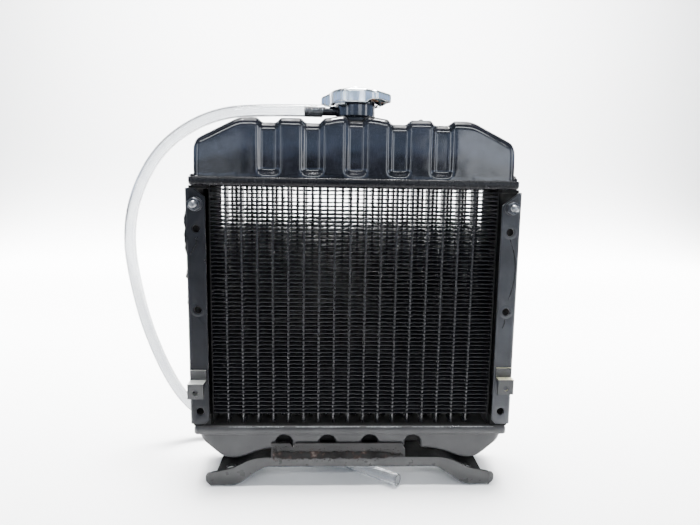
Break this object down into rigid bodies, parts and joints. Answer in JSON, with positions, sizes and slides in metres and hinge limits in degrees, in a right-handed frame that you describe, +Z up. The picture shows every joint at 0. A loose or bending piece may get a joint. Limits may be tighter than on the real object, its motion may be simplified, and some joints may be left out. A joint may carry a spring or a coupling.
{
  "type": "radiator",
  "caption": "Small soldered tractor radiator with ribbed tanks, plate-fin core, side brackets, saddle feet, pressure cap and clear overflow hose.",
  "frame": {"origin": "on the floor under the middle of the radiator without its hose", "axes": "+X along the tanks to the right seen from the front, +Y to the back, where the pipes are, +Z up"},
  "size_m": [0.3676, 0.1124, 0.3597],
  "materials": {
    "tank_paint": "gloss",
    "bracket_paint": "satin",
    "core_paint": "satin",
    "saddle_paint": "gloss",
    "solder": "rough",
    "zinc": "satin",
    "cap_plate": "satin",
    "copper": "satin",
    "brass": "satin",
    "spring_steel": "satin",
    "rubber": "matte",
    "clear_hose": "clear soft plastic"
  },
  "bodies": {
    "radiator": {"top_tank": "tank_paint", "bottom_tank": "tank_paint", "top_header": "tank_paint", "bottom_header": "tank_paint", "filler_neck": "tank_paint", "neck_solder": "tank_paint", "overflow_nipple": "tank_paint", "inlet_pipe": "tank_paint", "outlet_pipe": "tank_paint", "core_tubes_front": "core_paint", "core_tubes_middle": "core_paint", "core_tubes_rear": "core_paint", "core_fins": "core_paint", "core_side_plate_left": "core_paint", "core_side_plate_right": "core_paint", "side_bracket_left": "bracket_paint", "side_bracket_right": "bracket_paint", "shroud_clip_left": "bracket_paint", "shroud_clip_right": "bracket_paint", "clip_nut": "bracket_paint", "bracket_bolts": "zinc", "bracket_washers": "bracket_paint", "bracket_nuts": "bracket_paint", "mounting_saddle": "saddle_paint", "saddle_pad_front": "saddle_paint", "saddle_pad_rear": "saddle_paint", "saddle_welds": "solder", "drain_boss": "tank_paint", "drain_body": "brass", "overflow_hose": "clear_hose"},
    "cap_shell": {"cap_shell": "cap_plate"},
    "cap_core": {"cap_rivet": "cap_plate", "cap_top_gasket": "copper", "cap_diaphragm": "spring_steel", "cap_cup": "brass", "pressure_spring": "spring_steel"},
    "pressure_valve": {"pressure_valve": "brass", "pressure_seal": "rubber", "vacuum_spring": "spring_steel"},
    "vacuum_valve": {"vacuum_valve": "brass"},
    "drain_key": {"drain_key": "brass"}
  },
  "joints": [
    {"name": "cap_lift", "type": "slide", "parent": "radiator", "child": "cap_core", "axis": [0, 0, 1], "range_m": [0, 0.04]},
    {"name": "cap_turn", "type": "hinge", "parent": "cap_core", "child": "cap_shell", "pos_m": [0, -0.012, 0.35], "axis": [0, 0, 1], "range_deg": [0, 90]},
    {"name": "pressure_valve", "type": "slide", "parent": "cap_core", "child": "pressure_valve", "axis": [0, 0, 1], "range_m": [0, 0.003], "stiffness_N_per_m": 4400, "springref_m": -0.01, "deforming": ["pressure_spring"]},
    {"name": "vacuum_valve", "type": "slide", "parent": "pressure_valve", "child": "vacuum_valve", "axis": [0, 0, 1], "range_m": [-0.0015, 0], "stiffness_N_per_m": 200, "springref_m": 0.002, "deforming": ["vacuum_spring"]},
    {"name": "drain_turn", "type": "hinge", "parent": "radiator", "child": "drain_key", "pos_m": [-0.095, 0.038, 0.041], "axis": [0, 1, 0], "range_deg": [0, 90]}
  ]
}
